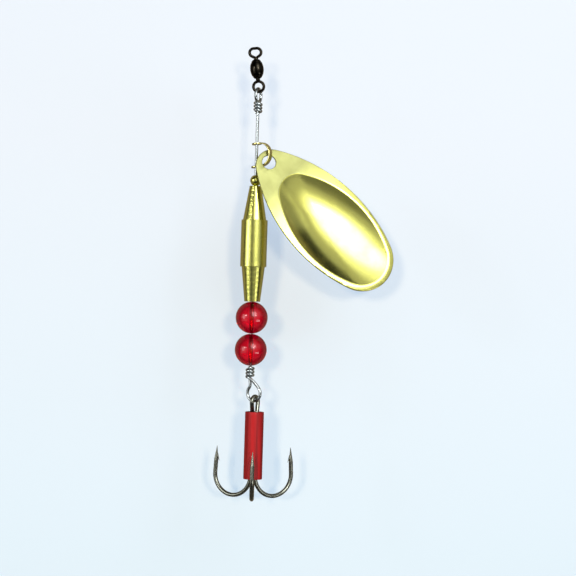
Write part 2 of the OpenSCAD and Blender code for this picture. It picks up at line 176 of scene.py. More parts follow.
def finish_piece(bm, name, body, node, materials, corner, at=Matrix()):
    """Makes a piece from a mesh in millimetres. Edges over the corner angle stay sharp."""
    bmesh.ops.transform(bm, matrix=at, verts=bm.verts)
    tidy_mesh(bm)
    for edge in bm.edges:
        edge.smooth = edge.is_manifold and edge.calc_face_angle(0) < radians(corner)
    for face in bm.faces:
        face.smooth = True
    bmesh.ops.scale(bm, vec=[1 / mm_per_m] * 3, verts=bm.verts)
    piece = mesh_object(bm, name, materials)
    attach(piece, body)
    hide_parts(node)
    print(f"{name}: {len(piece.data.polygons)} faces on body {body}")
    return piece


# %% [markdown]
# ## Effects that several finishes share
#
# Metal from a small tackle works is never one flat colour. It tarnishes in soft patches, it
# carries fine marks along the way it was drawn, turned or rubbed, and it has small pits. Each
# of these is built once, as a node group that gives out colours, values and heights, and every
# finish sets its own amounts.

# %% Helpers for nodes
def new_group(name, inputs, outputs):
    """An empty node group: the group, what it is given, and the node that takes its results."""
    group = bpy.data.node_groups.new(name, "ShaderNodeTree")
    for way, sockets in (("INPUT", inputs), ("OUTPUT", outputs)):
        for label, kind in sockets.items():
            group.interface.new_socket(label, in_out=way, socket_type="NodeSocket" + kind)
    return group, group.nodes.new("NodeGroupInput").outputs, group.nodes.new("NodeGroupOutput")


def set_inputs(tree, node, **inputs):
    """Sets or links inputs. A name's underscores are spaces, and i0 is the first input."""
    for key, value in inputs.items():
        socket = node.inputs[int(key[1:]) if key[1:].isdigit() else key.replace("_", " ")]
        if isinstance(value, bpy.types.NodeSocket):
            tree.links.new(value, socket)
        else:
            socket.default_value = value


def add_node(tree, kind, settings=None, **inputs):
    """The outputs of a new node with its settings and inputs."""
    node = tree.nodes.new("ShaderNode" + kind)
    for key, value in (settings or {}).items():
        setattr(node, key, value)
    set_inputs(tree, node, **inputs)
    return node.outputs


def calc(tree, operation, a, b, clamp=False):
    """The result of a Math node."""
    return add_node(tree, "Math", {"operation": operation, "use_clamp": clamp}, i0=a, i1=b)[0]


def mix_colors(tree, share, a, b):
    """The result of a Mix node for colours, which takes them in inputs 6 and 7."""
    return add_node(tree, "Mix", {"data_type": "RGBA"}, i0=share, i6=a, i7=b)[2]


def noise(tree, where, scale, detail, roughness=0.5):
    """Values of a cloud of noise."""
    return add_node(tree, "TexNoise", Vector=where, Scale=scale, Detail=detail, Roughness=roughness)[0]


def rise(tree, value, low, high, top=1.0):
    """Nought up to a low value, then rising to the top at a high value."""
    return add_node(tree, "MapRange", Value=value, From_Min=low, From_Max=high, To_Max=top)[0]


# %% [markdown]
# Tarnish is a soft cloud that pulls the bright colour towards a darker one and makes the
# surface a little rougher. A second, finer cloud adds the small specks that handling leaves.

# %% Tarnish
specks_per_m = 3200.0
rougher_by = 0.22

surface_results = {"Color": "Color", "Roughness": "Float", "Height": "Float"}
tarnish, given, results = new_group(
    "tarnish", {"Vector": "Vector", "Bright": "Color", "Dull": "Color", "Amount": "Float",
                "Patch Size": "Float", "Roughness": "Float"}, surface_results)
per_mm = calc(tarnish, "DIVIDE", mm_per_m, given["Patch Size"])
cloud = noise(tarnish, given["Vector"], per_mm, 4.0, roughness=0.6)
fine = noise(tarnish, given["Vector"], specks_per_m, 3.0)
patches = rise(tarnish, cloud, 0.38, 0.72)
specks = rise(tarnish, fine, 0.58, 0.75)
mask = calc(tarnish, "MULTIPLY", calc(tarnish, "MAXIMUM", patches, specks), given["Amount"])
rougher = calc(tarnish, "MULTIPLY", mask, rougher_by)
set_inputs(tarnish, results, Color=mix_colors(tarnish, mask, given["Bright"], given["Dull"]),
           Roughness=calc(tarnish, "ADD", given["Roughness"], rougher, True), Height=fine)
print("tarnish:", len(tarnish.nodes), "nodes")

# %% [markdown]
# A lathe leaves rings round the axis, and a drawing die leaves lines along it. Both are noise
# stretched one way. The input vector is scaled before it comes in, so the same group serves
# for both: squeezed along Z it gives rings, and squeezed across Z it gives long lines.

# %% Machining marks
coarse_share, hair_share = 0.6, 0.4
hair_scale = 3.3
mark_roughness = 0.35

marks, given, results = new_group(
    "machining marks", {"Vector": "Vector", "Strength": "Float", "Roughness": "Float"},
    {"Height": "Float", "Roughness": "Float"})
coarse = calc(marks, "MULTIPLY", noise(marks, given["Vector"], 1.0, 2.0), coarse_share)
hair = calc(marks, "MULTIPLY", noise(marks, given["Vector"], hair_scale, 3.0), hair_share)
centred = calc(marks, "SUBTRACT", calc(marks, "ADD", coarse, hair), 0.5)
height = calc(marks, "MULTIPLY", centred, given["Strength"])
rougher = calc(marks, "MULTIPLY", height, mark_roughness)
set_inputs(marks, results, Height=height, Roughness=calc(marks, "ADD", given["Roughness"], rougher, True))
print("machining marks:", len(marks.nodes), "nodes")

# %% [markdown]
# Moulded plastic has slow clouds of colour and a very shallow ripple from the mould.

# %% Moulding
grains_per_m = 4200.0

moulding, given, results = new_group(
    "moulding", {"Vector": "Vector", "Color": "Color", "Deep Color": "Color",
                 "Ripple Size": "Float", "Roughness": "Float", "Grain": "Float"}, surface_results)
per_mm = calc(moulding, "DIVIDE", mm_per_m, given["Ripple Size"])
ripple = noise(moulding, given["Vector"], per_mm, 2.0)
grain = noise(moulding, given["Vector"], grains_per_m, 2.0)
deeper = rise(moulding, ripple, 0.35, 0.7)
centred = calc(moulding, "SUBTRACT", grain, 0.5)
rougher = calc(moulding, "MULTIPLY", centred, given["Grain"])
grainy = calc(moulding, "MULTIPLY", grain, given["Grain"])
set_inputs(moulding, results, Height=calc(moulding, "ADD", ripple, grainy),
           Color=mix_colors(moulding, deeper, given["Color"], given["Deep Color"]),
           Roughness=calc(moulding, "ADD", given["Roughness"], rougher, True))
print("moulding:", len(moulding.nodes), "nodes")

# %% [markdown]
# ## Metal finishes
#
# Seven of the nine finishes are metals. They differ in colour, in how much they are tarnished
# and in the marks they carry, and one helper builds such a material from those words. The bump
# is set in millionths of a metre, because the marks on a lure are that shallow.

# %% A metal
speck_height = 0.3


def new_material(name):
    """A new material and its node tree."""
    material = bpy.data.materials.new(name)
    material.use_nodes = True
    return material, material.node_tree


def metal(name, bright, dull, amount, patch, roughness, marks_per_mm, strength, depth=2e-6, turn=(0, 0, 0)):
    """A metal, with so many marks per millimetre along X, Y and Z, once those are turned."""
    material, tree = new_material(name)
    where = add_node(tree, "TexCoord")["Object"]
    leaning = add_node(tree, "Mapping", Vector=where, Rotation=turn)[0]
    per_m = [count * mm_per_m for count in marks_per_mm]
    squeezed = add_node(tree, "Mapping", Vector=leaning, Scale=per_m)[0]
    lines = add_node(tree, "Group", {"node_tree": marks}, Vector=squeezed,
                     Strength=strength, Roughness=roughness)
    cover = add_node(tree, "Group", {"node_tree": tarnish}, Vector=where,
                     Bright=(*bright, 1), Dull=(*dull, 1), Amount=amount, Patch_Size=patch,
                     Roughness=lines["Roughness"])
    pits = calc(tree, "MULTIPLY", cover["Height"], speck_height)
    height = calc(tree, "ADD", lines["Height"], pits)
    bump = add_node(tree, "Bump", Height=height, Distance=depth)[0]
    set_inputs(tree, tree.nodes["Principled BSDF"], Base_Color=cover["Color"],
               Roughness=cover["Roughness"], Normal=bump, Metallic=1.0)
    print(f"{name}: roughness {roughness}, marks {marks_per_mm} to the millimetre")
    return material


brass = (0.80, 0.79, 0.205)
dull_brass = (0.60, 0.56, 0.10)

# %% [markdown]
# The blade has two finishes. Its bowl is polished after stamping. The flat rim keeps the satin
# of the tumbler. Both have long faint marks along the blade.

# %% Blade brass
blade_lean = 46.1
marks_turn = (0, radians(45), 0)
bowl_finish = metal("polished_bowl_brass", brass, dull_brass, amount=0.35, patch=5.0,
                    roughness=0.16, marks_per_mm=(1.2, 1.2, 0.3), strength=0.25, turn=marks_turn)
rim_finish = metal("satin_rim_brass", (0.36, 0.37, 0.14), (0.30, 0.30, 0.10), amount=0.4, patch=4.0,
                   roughness=0.46, marks_per_mm=(3.0, 3.0, 0.8), strength=0.6, turn=marks_turn)

# %% [markdown]
# The rim isn't satin all the way. Where it narrows to a flange beside the bowl it was polished
# with the bowl, so its roughness drops along the blade. Its colour also rises there to bright
# brass, as a painted highlight for the light that the slightly bent-back flange catches. The
# distance from the hole along the blade, which a dot product gives, sets how far the colour and
# the roughness have changed.

# %% Polished flange and its painted highlight
flange_start, flange_end = 0.006, 0.018
smoother_by = 0.28

tree = rim_finish.node_tree
shader = tree.nodes["Principled BSDF"]
where = add_node(tree, "TexCoord")["Object"]
along_blade = (sin(radians(blade_lean)), 0, -cos(radians(blade_lean)))
from_hole = add_node(tree, "VectorMath", {"operation": "SUBTRACT"}, i0=where,
                     i1=place("blade_swing") / mm_per_m)[0]
distance = add_node(tree, "VectorMath", {"operation": "DOT_PRODUCT"}, i0=from_hole, i1=along_blade)["Value"]
polish_and_painted_highlight = rise(tree, distance, flange_start, flange_end)
satin_color, satin_rough = [shader.inputs[label].links[0].from_socket
                            for label in ("Base Color", "Roughness")]
smoother = calc(tree, "MULTIPLY", polish_and_painted_highlight, smoother_by)
# Painted highlight: towards the far end the rim's colour turns to bright brass.
set_inputs(tree, shader, Base_Color=mix_colors(tree, polish_and_painted_highlight, satin_color, (*brass, 1)),
           Roughness=calc(tree, "SUBTRACT", satin_rough, smoother))
print("rim: satin at the hole, polished beside the bowl")

# %% [markdown]
# The body is turned on a lathe, so its marks are rings: many to the millimetre along Z, and
# almost none round it. The clevis is bent from bright strip.

# %% Turned brass and clevis brass
turned_finish = metal("turned_brass_finish", brass, dull_brass, amount=0.4, patch=3.0,
                      roughness=0.18, marks_per_mm=(0.05, 0.05, 6.0), strength=0.8, depth=1.8e-5)
clevis_finish = metal("bright_clevis_brass", (0.86, 0.78, 0.34), dull_brass, amount=0.4, patch=1.5,
                      roughness=0.2, marks_per_mm=(2.0, 2.0, 2.0), strength=0.4)

# %% [markdown]
# The shaft is drawn stainless wire, bright and nearly white. The swivel is plated with black
# nickel. The hooks are lacquered a dark bronze that lets a little of the steel through.

# %% Wire, swivel and hook metals
wire_finish = metal("drawn_steel_wire", (0.52, 0.57, 0.58), (0.27, 0.29, 0.28), amount=0.4, patch=1.2,
                    roughness=0.16, marks_per_mm=(6.0, 6.0, 0.4), strength=0.2)
nickel_finish = metal("black_nickel_plate", (0.024, 0.021, 0.015), (0.010, 0.009, 0.006), amount=0.6,
                      patch=1.5, roughness=0.10, marks_per_mm=(2.0, 2.0, 4.0), strength=0.3)
hook_finish = metal("bronzed_steel", (0.27, 0.28, 0.23), (0.07, 0.07, 0.05), amount=0.55, patch=2.5,
                    roughness=0.2, marks_per_mm=(3.0, 3.0, 0.6), strength=0.5)

# %% [markdown]
# ## Clear red beads and the red sleeve
#
# The beads are clear plastic, so the light that shows comes through them. That is what a plain
# transmission of one does, with the usual index of plastic and a deep red base colour. The
# sleeve is soft vinyl tube: opaque, nearly matt, with a faint sheen.

# %% Plastics
def plastic(name, color, deep, ripple, roughness, grain, depth, shine, squeeze=(1, 1, 1)):
    """A moulded plastic material. Shine is how much light its surface throws back."""
    material, tree = new_material(name)
    where = add_node(tree, "TexCoord")["Object"]
    squeezed = add_node(tree, "Mapping", Vector=where, Scale=squeeze)[0]
    mould = add_node(tree, "Group", {"node_tree": moulding}, Vector=squeezed,
                     Color=(*color, 1), Deep_Color=(*deep, 1), Ripple_Size=ripple,
                     Roughness=roughness, Grain=grain)
    bump = add_node(tree, "Bump", Height=mould["Height"], Distance=depth)[0]
    set_inputs(tree, tree.nodes["Principled BSDF"], Base_Color=mould["Color"],
               Roughness=mould["Roughness"], Normal=bump, Specular_IOR_Level=shine)
    print(f"{name}: ripple {ripple} mm")
    return material


bead_finish = plastic("clear_red_plastic", (0.84, 0.008, 0.026), (0.66, 0.004, 0.015), ripple=3.0,
                      roughness=0.02, grain=0.02, depth=1e-6, shine=0.05)
sleeve_finish = plastic("soft_red_vinyl", (0.225, 0.008, 0.012), (0.115, 0.003, 0.005), ripple=0.7,
                        roughness=0.5, grain=0.3, depth=2.5e-5, shine=0.25, squeeze=(1, 1, 0.03))

# %% [markdown]
# A clear bead looks darkest near its sides, because the light there has been bent through the
# longest way of plastic. A surface colour can't know that length, so painted shade stands in
# for it: the colour is drawn towards nearly black red where the bead turns away from the eye.

# %% Painted shade at the sides of the beads
painted_shade_start, painted_shade_end = 0.04, 0.32
painted_shade_red = (0.16, 0.0, 0.004, 1)

tree = bead_finish.node_tree
shader = tree.nodes["Principled BSDF"]
facing = add_node(tree, "LayerWeight")["Facing"]
side = rise(tree, facing, painted_shade_start, painted_shade_end)
through = shader.inputs["Base Color"].links[0].from_socket
# Painted shade: the base colour goes nearly black red where the bead turns away.
set_inputs(tree, shader, Transmission_Weight=1.0, IOR=1.5,
           Base_Color=mix_colors(tree, side, through, painted_shade_red))
print("beads: darker where they turn away")

# %% [markdown]
# ## Turning on the lathe
#
# Most pieces on the shaft are round. Each starts as a chain of points on one side of the axis,
# from the axis out and back. Spin sweeps that chain right round, and its corners are then
# broken with a small bevel, because a sharp edge never catches the light as a real one does.

# %% The lathe
def turned(profile, steps, broken, sharp):
    """A round mesh about the Z axis, from points (radius, height)."""
    bm = bmesh.new()
    chain = [bm.verts.new((r, 0, z)) for r, z in profile]
    bored = chain[0].co.x > 0
    ends = chain + chain[:1] if bored else chain
    edges = [bm.edges.new(pair) for pair in zip(ends, ends[1:])]
    bmesh.ops.spin(bm, geom=chain + edges, cent=(0, 0, 0), axis=(0, 0, 1), angle=tau,
                   steps=steps, use_merge=True)
    tidy_mesh(bm)
    break_edges(bm, sharper_than(sharp, bm), broken, 2, clamp=True)
    return bm


# %% [markdown]
# ## The turned brass body
#
# The body gives the lure its weight. It is one turned slug with a bore: a slim cone at the top,
# a straight middle that stands a little proud of both cones, and a cone that tapers to the
# tail. Six shallow grooves run round each cone.

# %% Brass body
bore_r = 0.465
top_r, cone_r, middle_r, tail_r = 1.475, 2.9, 3.275, 1.975
cone_long, middle_long, tail_long = 8.5, 11.7, 8.7


def grooved_cone(top, bottom, count=6, depth=0.004, width=0.3, flat=0.04):
    """Points down a cone's side with its grooves, each flat at its bottom."""
    run = Vector(bottom) - Vector(top)
    points = [top]
    for k in range(1, count + 1):
        middle = Vector(top) + run * k / (count + 1)
        half = run.normalized() * width / 2
        inner_r = middle.x - depth
        points += [tuple(middle - half), (inner_r, middle.y + flat / 2),
                   (inner_r, middle.y - flat / 2), tuple(middle + half)]
    return points + [bottom]


middle_z = -cone_long
tail_z = middle_z - middle_long
end_z = -(cone_long + middle_long + tail_long)
upper_cone = grooved_cone((top_r, 0), (cone_r, middle_z))
lower_cone = grooved_cone((cone_r, tail_z), (tail_r, end_z))
straight = [(middle_r, middle_z), (middle_r, tail_z)]
profile = [(bore_r, 0)] + upper_cone + straight + lower_cone + [(bore_r, end_z)]
bm = turned(profile, steps=128, broken=0.06, sharp=40)
finish_piece(bm, "turned_body", "body", "brass_body", [turned_finish], 10,
             Matrix.Translation((shaft_x, 0, node_box("brass_body")[1].z)))

# %% [markdown]
# ## Beads and bearing ball
#
# A bead is a ball with a bore. Its outline is an arc from one mouth of the bore round to the
# other, so that the mouths have a clean edge. The small brass ball above the body is made in
# the same way, and is what the clevis spins against.

# %% Beads
def bored_ball(name, body, node, material, diameter, steps):
    """A ball with a bore, at its place on the shaft."""
    radius, count = diameter / 2, steps // 2
    mouth = acos(bore_r / radius)
    angles = [mouth * (2 * k / count - 1) for k in range(count + 1)]
    bm = turned([(radius * cos(a), radius * sin(a)) for a in angles], steps, broken=0.05, sharp=40)
    low, high = node_box(node)
    finish_piece(bm, name, body, node, [material], 40, Matrix.Translation((low + high) / 2))


bored_ball("upper_bead_clear_red", "upper_bead", "upper_red_bead", bead_finish, 8.0, 96)
bored_ball("lower_bead_clear_red", "lower_bead", "lower_red_bead", bead_finish, 8.0, 96)
bored_ball("bearing_ball", "bearing", "bearing_bead", turned_finish, 2.8, 64)

# %% [markdown]
# ## The barrel of the swivel
#
# The barrel is a small hollow can. Each eye has a stem that goes in through one end and is
# held by a head inside, so the line and the lure can turn apart. The can bulges slightly, and
# its ends are rolled in over the heads, which leaves a fine ring near each end.

# %% Swivel barrel
eye_wire = 0.72
upper_eye_high, upper_eye_wide = 2.8, 3.6
lower_eye_across = 3.32
neck = 0.38
barrel_long, barrel_wide, barrel_mouth_wide = 4.75, 3.4, 1.5
end_wall = 0.7
stem_hole_r, hollow_r = 0.61, 1.01
levels, rolled_rings, ring_depth = 32, (4, 28), 0.07

# the can's side is part of a long ellipse
barrel_half = barrel_long / 2
ellipse_half = barrel_half / sqrt(1 - (barrel_mouth_wide / barrel_wide) ** 2)
outside = []
for k in range(levels + 1):
    z = barrel_half * (2 * k / levels - 1)
    can_r = barrel_wide / 2 * sqrt(1 - (z / ellipse_half) ** 2)
    outside.append((can_r - (ring_depth if k in rolled_rings else 0), z))
hollow_z = barrel_half - end_wall
inside = [(stem_hole_r, barrel_half), (stem_hole_r, hollow_z), (hollow_r, hollow_z)]
bm = turned(outside + inside + [(r, -z) for r, z in inside[::-1]], steps=64, broken=0.06, sharp=50)
barrel_centre = -upper_eye_high / 2 - neck - barrel_half
finish_piece(bm, "swivel_can", "barrel", "swivel_barrel", [nickel_finish], 30,
             on_swivel @ Matrix.Translation((0, 0, barrel_centre)))

# %% [markdown]
# ## The eyes of the swivel
#
# Each eye is a bent ring on a stem. The section of the wire is a circle of edges, and Spin
# carries it round. The lower eye is a plain ring, one full turn. The upper eye is drawn out
# sideways and closes in straight to its stem, so half of it is made from a straight run, a bend
# and a leg, and mirrored. The stem with its head is turned on the lathe and flares where it
# meets the eye, as the solder there does.

# %% Swivel eyes
head_play = 0.06
head_r, head_thick, stem_r = 0.95, 0.6, 0.55
flare_r, flare_below, flare_above = 0.50, 0.12, 0.25


def eye_section(ring_r):
    """A mesh with the round section of an eye's wire, at the top of its ring."""
    bm = bmesh.new()
    at = Matrix.Translation((0, 0, ring_r)) @ turn_by(90, "Y")
    bmesh.ops.create_circle(bm, segments=20, radius=eye_wire / 2, matrix=at)
    return bm


def drawn_eye(ring_r, straight, leg_x=0.275, bend=radians(60)):
    """An eye made from half: over the top, round one side and in to the stem."""
    bm = eye_section(ring_r)
    over = extruded(bm, bm.edges[:], (straight / 2, 0, 0))
    side = bmesh.ops.spin(bm, geom=edges_of(over), cent=(straight / 2, 0, 0), axis=(0, 1, 0),
                          angle=pi / 2 + bend, steps=28)["geom_last"]
    run = (straight / 2 + ring_r * cos(bend) - leg_x) / sin(bend)
    leg = extruded(bm, edges_of(side), Vector((-sin(bend), 0, -cos(bend))) * run)
    bmesh.ops.contextual_create(bm, geom=edges_of(leg))
    bmesh.ops.mirror(bm, geom=bm.verts[:] + bm.edges[:] + bm.faces[:], axis="X", merge_dist=1e-3)
    return bm


def add_stem(bm, eye_half):
    """Stem with its head, below an eye, as part of the same mesh."""
    shoulder = eye_half + neck + end_wall + head_play
    top = eye_wire / 2 - eye_half
    profile = [(0, -shoulder - head_thick), (head_r, -shoulder - head_thick), (head_r, -shoulder),
               (stem_r, -shoulder), (stem_r, -eye_half - flare_below),
               (flare_r, -eye_half + flare_above), (eye_wire / 2, top), (0, top)]
    add_mesh(bm, turned(profile, steps=32, broken=0.04, sharp=60))


bm = drawn_eye((upper_eye_high - eye_wire) / 2, upper_eye_wide - upper_eye_high)
add_stem(bm, upper_eye_high / 2)
finish_piece(bm, "line_eye_ring", "line_eye", "swivel_upper_eye", [nickel_finish],
             50, on_swivel)

lower_ring_r = (lower_eye_across - eye_wire) / 2
eye_pitch = upper_eye_high / 2 + 2 * neck + barrel_long + lower_eye_across / 2
bm = eye_section(lower_ring_r)
bmesh.ops.spin(bm, geom=bm.edges[:], cent=(0, 0, 0), axis=(0, 1, 0), angle=tau, steps=64,
               use_merge=True)
add_stem(bm, lower_eye_across / 2)
finish_piece(bm, "shaft_eye_ring", "lower_eye", "swivel_lower_eye", [nickel_finish],
             50, on_swivel @ Matrix.Translation((0, 0, -eye_pitch)) @ turn_by(180, "Y"))

# %% [markdown]
# ## Bending wire
#
# A wire is easiest as a curve with a round bevel: the points say where it goes, and the bevel
# gives it its thickness. A Nurbs curve rounds each bend a little, as real wire does. It becomes
# a mesh at the end, so that it can be finished like the other pieces.

# %% Wire helper
def bent_wire(points, diameter, radii):
    """A mesh in millimetres swept along points, with the wire's radius at each as a share."""
    curve = bpy.data.curves.new("wire", "CURVE")
    curve.dimensions = "3D"
    curve.bevel_depth = diameter / 2
    curve.bevel_resolution = 7
    curve.use_fill_caps = True
    spline = curve.splines.new("NURBS")
    spline.points.add(len(points) - 1)
    for knot, point, radius in zip(spline.points, points, radii):
        knot.co = (*point, 1)
        knot.radius = radius
    spline.order_u = 3
    spline.resolution_u = 2
    spline.use_endpoint_u = True
    holder = add_object("wire", curve)
    swept = holder.evaluated_get(bpy.context.evaluated_depsgraph_get()).to_mesh()
    bm = bmesh.new()
    bm.from_mesh(swept)
    holder.to_mesh_clear()
    bpy.data.objects.remove(holder)
    bpy.data.curves.remove(curve)
    print(f"wire of {diameter:.2f} mm bent through {len(points)} points")
    return bm


# %% [markdown]
# ## The shaft
#
# One length of steel wire runs through everything. At each end it is bent into a loop and
# wrapped three times round itself. Both ends are described by the same function: up the axis,
# round the loop, across the front, and down round the axis in close turns. The lower end is the
# upper one turned over, with a larger loop that is set off to one side so that the treble hook
# can slip in.

# %% Path of a wrapped loop
wire_d, under_size = 0.75, 0.01
wraps, wrap_pitch, wrap_gap, above_wraps = 3, 0.82, 0.03, 0.15


def between(a, b, c, d, steps):
    """Points on a cubic curve from a towards d, with the handles b and c."""
    shares = [(1 - k / steps, k / steps) for k in range(steps)]
    return [a * r ** 3 + b * 3 * r ** 2 * s + c * 3 * r * s ** 2 + d * s ** 3 for r, s in shares]


def wrapped_loop(height, width, shift):
    """Points of a loop that stands on its wraps. The last wrap is at Z = 0."""
    loop_r = (width - wire_d) / 2
    wrap_r = wire_d + wrap_gap
    first = wraps * wrap_pitch
    start = Vector((0, 0, first + above_wraps))
    centre = Vector((shift, 0, height - loop_r))
    join = radians(min(150, 100 + degrees(asin(min(1, loop_r / (centre - start).length)))))
    side, rise_by = sin(join), cos(join)
    left = centre + loop_r * Vector((-side, 0, rise_by))
    right = centre + loop_r * Vector((side, 0, rise_by))
    across = Vector((0, wrap_r, first))
    reach = (left - start).length / 2.6
    points = between(start, start + Vector((0, 0, reach)), left - reach * Vector((rise_by, 0, side)),
                     left, 12)
    for k in range(44):
        a = join * (2 * k / 44 - 1)
        points.append(centre + loop_r * Vector((sin(a), 0, cos(a))))
    points += between(right, right + reach * Vector((rise_by, 0, -side)),
                      across + Vector((0.9 * reach, 0, 0.25 * reach)), across, 14)
    for k in range(24 * wraps + 1):
        a = tau * k / 24
        points.append(Vector((-wrap_r * sin(a), wrap_r * cos(a), first - wrap_pitch * k / 24)))
    return points


# %% [markdown]
# The upper loop is turned so that it meets the swivel's eye edge on, as linked rings do. The
# straight run between the two ends needs no points of its own, because the curve runs straight
# from the last wrap of one to the first of the other.

# %% Shaft wire
link_gap, bead_gap = 0.06, 0.04
# height, width and sideways shift of each loop, and its turn in degrees
upper_loop, upper_turn = (6.0, 4.2, 0), 69
lower_loop, lower_turn = (8.35, 4.65, 1.35), -35


def on_shaft(loop, z, turn):
    """Points of a loop, turned and set at a height on the shaft's axis."""
    return [Vector((shaft_x, 0, z)) + turn @ point for point in wrapped_loop(*loop)]


last_upper_wrap = (place("lower_eye_spin").z - lower_ring_r + (eye_wire + wire_d) / 2 + link_gap
                   - upper_loop[0])
first_lower_wrap = node_box("lower_red_bead")[0].z - bead_gap - wire_d / 2
turned_over = turn_by(lower_turn, "Z") @ Matrix.Diagonal((1, -1, -1, 1))
upper = on_shaft(upper_loop, last_upper_wrap, turn_by(upper_turn, "Z"))
lower = on_shaft(lower_loop, first_lower_wrap, turned_over)
path = lower[::-1] + upper
cut_end = [0.6, 0.93]
bm = bent_wire(path, wire_d - under_size, cut_end + [1] * (len(path) - 4) + cut_end[::-1])
finish_piece(bm, "shaft_of_wire", "shaft", "shaft_wire", [wire_finish], 50)

# %% [markdown]
# ## The clevis
#
# The clevis is a strip bent round into a U, with a round ear at each end that turns on the
# shaft. A rectangle of edges is carried along one arm, round the bend with Spin, and back along
# the other. The ears are washers a touch thicker than the strip, so the two never share a face.

# %% Clevis
strip_w, strip_t, arm_gap, reach = 1.3, 0.38, 5.7, 4.28
ear_r, arm_from_ear, ear_proud, ear_play = 1.25, 0.75, 0.03, 0.02
clevis_tilt, clevis_turn = -8, -36
ear_shift = arm_gap / 2 * tan(radians(-clevis_tilt))
bend_x = reach - arm_gap / 2

bm = bmesh.new()
start_at = Matrix.Translation((ear_shift + arm_from_ear, 0, arm_gap / 2)) @ turn_by(90, "Y")
bmesh.ops.create_grid(bm, x_segments=1, y_segments=1, size=0.5,
                      matrix=start_at @ stretch(strip_t - ear_proud, strip_w))
bmesh.ops.bevel(bm, geom=bm.verts[:], offset=0.09, segments=2, profile=0.5, affect="VERTICES", material=-1)
arm = extruded(bm, bm.edges[:], (bend_x - ear_shift - arm_from_ear, 0, 0))
bend = bmesh.ops.spin(bm, geom=edges_of(arm), cent=(bend_x, 0, 0), axis=(0, 1, 0), angle=pi,
                      steps=40)["geom_last"]
arm = extruded(bm, edges_of(bend), (arm_from_ear - ear_shift - bend_x, 0, 0))
bmesh.ops.contextual_create(bm, geom=edges_of(arm))
ear_bore = bore_r + ear_play
for side in (1, -1):
    washer = turned([(ear_bore, -strip_t / 2), (ear_r, -strip_t / 2), (ear_r, strip_t / 2),
                     (ear_bore, strip_t / 2)], steps=48, broken=0.06, sharp=40)
    bmesh.ops.translate(washer, vec=(side * ear_shift, 0, side * arm_gap / 2), verts=washer.verts)
    add_mesh(bm, washer)
finish_piece(bm, "clevis_strip", "clevis", "clevis", [clevis_finish], 30,
             Matrix.Translation(place("clevis_spin")) @ turn_by(clevis_turn, "Z")
             @ turn_by(clevis_tilt, "Y"))

# %% [markdown]
# ## The outline of the blade
#
# A spoon blade of this kind is egg shaped: a small circle at the hole, a large one at the far
# end, and one wide arc down each side that runs into both. No operator draws an egg, so a
# function gives half its width at each distance from the narrow end.

# %% Egg outline
def egg_half(x, long, tip_r, end_r, half_w):
    """Half the width of an egg at a distance from its narrow end."""
    span, a, b = long - tip_r - end_r, half_w - tip_r, half_w - end_r
    q = (b - a) / a
    rest = b * b - a * a - (b - a) * a - span * span
    along = (-span + sqrt(span * span - q * rest)) / q
    depth = (along * along - a * a) / (2 * a)
    arc_r, middle, end_c = half_w + depth, tip_r + along, long - end_r
    if x <= tip_r - tip_r * along / (arc_r - tip_r):
        return sqrt(max(0, tip_r ** 2 - (x - tip_r) ** 2))
    if x >= end_c + end_r * (end_c - middle) / (arc_r - end_r):
        return sqrt(max(0, end_r ** 2 - (x - end_c) ** 2))
    return sqrt(arc_r ** 2 - (x - middle) ** 2) - depth


def egg_outline(start, long, tip_r, end_r, half_w, steps=72):
    """Points round an egg, closer together at its ends."""
    points = []
    for k in range(2 * steps):
        x = long * (1 - cos(pi * k / steps)) / 2
        half = egg_half(x, long, tip_r, end_r, half_w)
        points.append((start + x, -half if k <= steps else half))
    return points


# %% [markdown]
# ## The blade
#
# The blade is built lying flat, its hole at the origin and its front up. The rim is filled
# between three loops: the outline, the hole and the edge of the bowl. Its outline lies a little
# lower, most at the far end, because the press bends the flange back slightly. The bowl is its
# own loop extruded inwards ring by ring, each ring smaller and deeper. Then the whole sheet is
# doubled for the back, the two are bridged at their edges, and the edges are rounded.

# %% Blade
blade_t, blade_long, end_to_hole = 0.55, 44.5, 3.0
hole_r, hole_to_bowl, bowl_to_end = 1.75, 5.6, 1.35
bowl_depth, fullness, crowding, rings = 2.5, 2.1, 1.15, 26
blade_roll, blade_pitch = -20, 1
rim_round, shoulder_round = 0.16, 0.35
# how far the outline lies lower, and the stretch of the blade over which it gets there
drops = ((0.12, 1, 9), (0.09, 30, 42))
bowl_len = blade_long - end_to_hole - hole_to_bowl - bowl_to_end
bowl_x = hole_to_bowl + 0.4 * bowl_len


def loop_of(bm, points):
    """A closed loop of edges through points."""
    chain = [bm.verts.new((x, y, blade_t / 2)) for x, y in points]
    return [bm.edges.new(pair) for pair in zip(chain, chain[1:] + chain[:1])]


bm = bmesh.new()
rim_loop = loop_of(bm, egg_outline(-end_to_hole, blade_long, tip_r=4.5, end_r=8.6, half_w=10.75))
bowl_loop = loop_of(bm, egg_outline(hole_to_bowl, bowl_len, tip_r=5.3, end_r=7.25, half_w=9.4))
bmesh.ops.create_circle(bm, segments=64, radius=hole_r, matrix=Matrix.Translation((0, 0, blade_t / 2)))
for vert in {v for e in rim_loop for v in e.verts}:
    for drop, start, end in drops:
        vert.co.z -= drop * min(1, max(0, (vert.co.x - start) / (end - start)))
bmesh.ops.triangle_fill(bm, use_beauty=True, edges=bm.edges[:])
rim_faces = set(bm.faces)
front, size = bowl_loop, 1
for ring in range(1, rings):
    last_size, size = size, 1 - (ring / rings) ** crowding
    shrink = size / last_size
    deeper = bowl_depth * (last_size ** fullness - size ** fullness)
    swept = extruded(bm, front, (0, 0, -deeper))
    bmesh.ops.scale(bm, vec=(shrink, shrink, 1), space=Matrix.Translation((-bowl_x, 0, 0)),
                    verts=verts_of(swept))
    front = edges_of(swept)
centre = extruded(bm, front, (0, 0, 0))
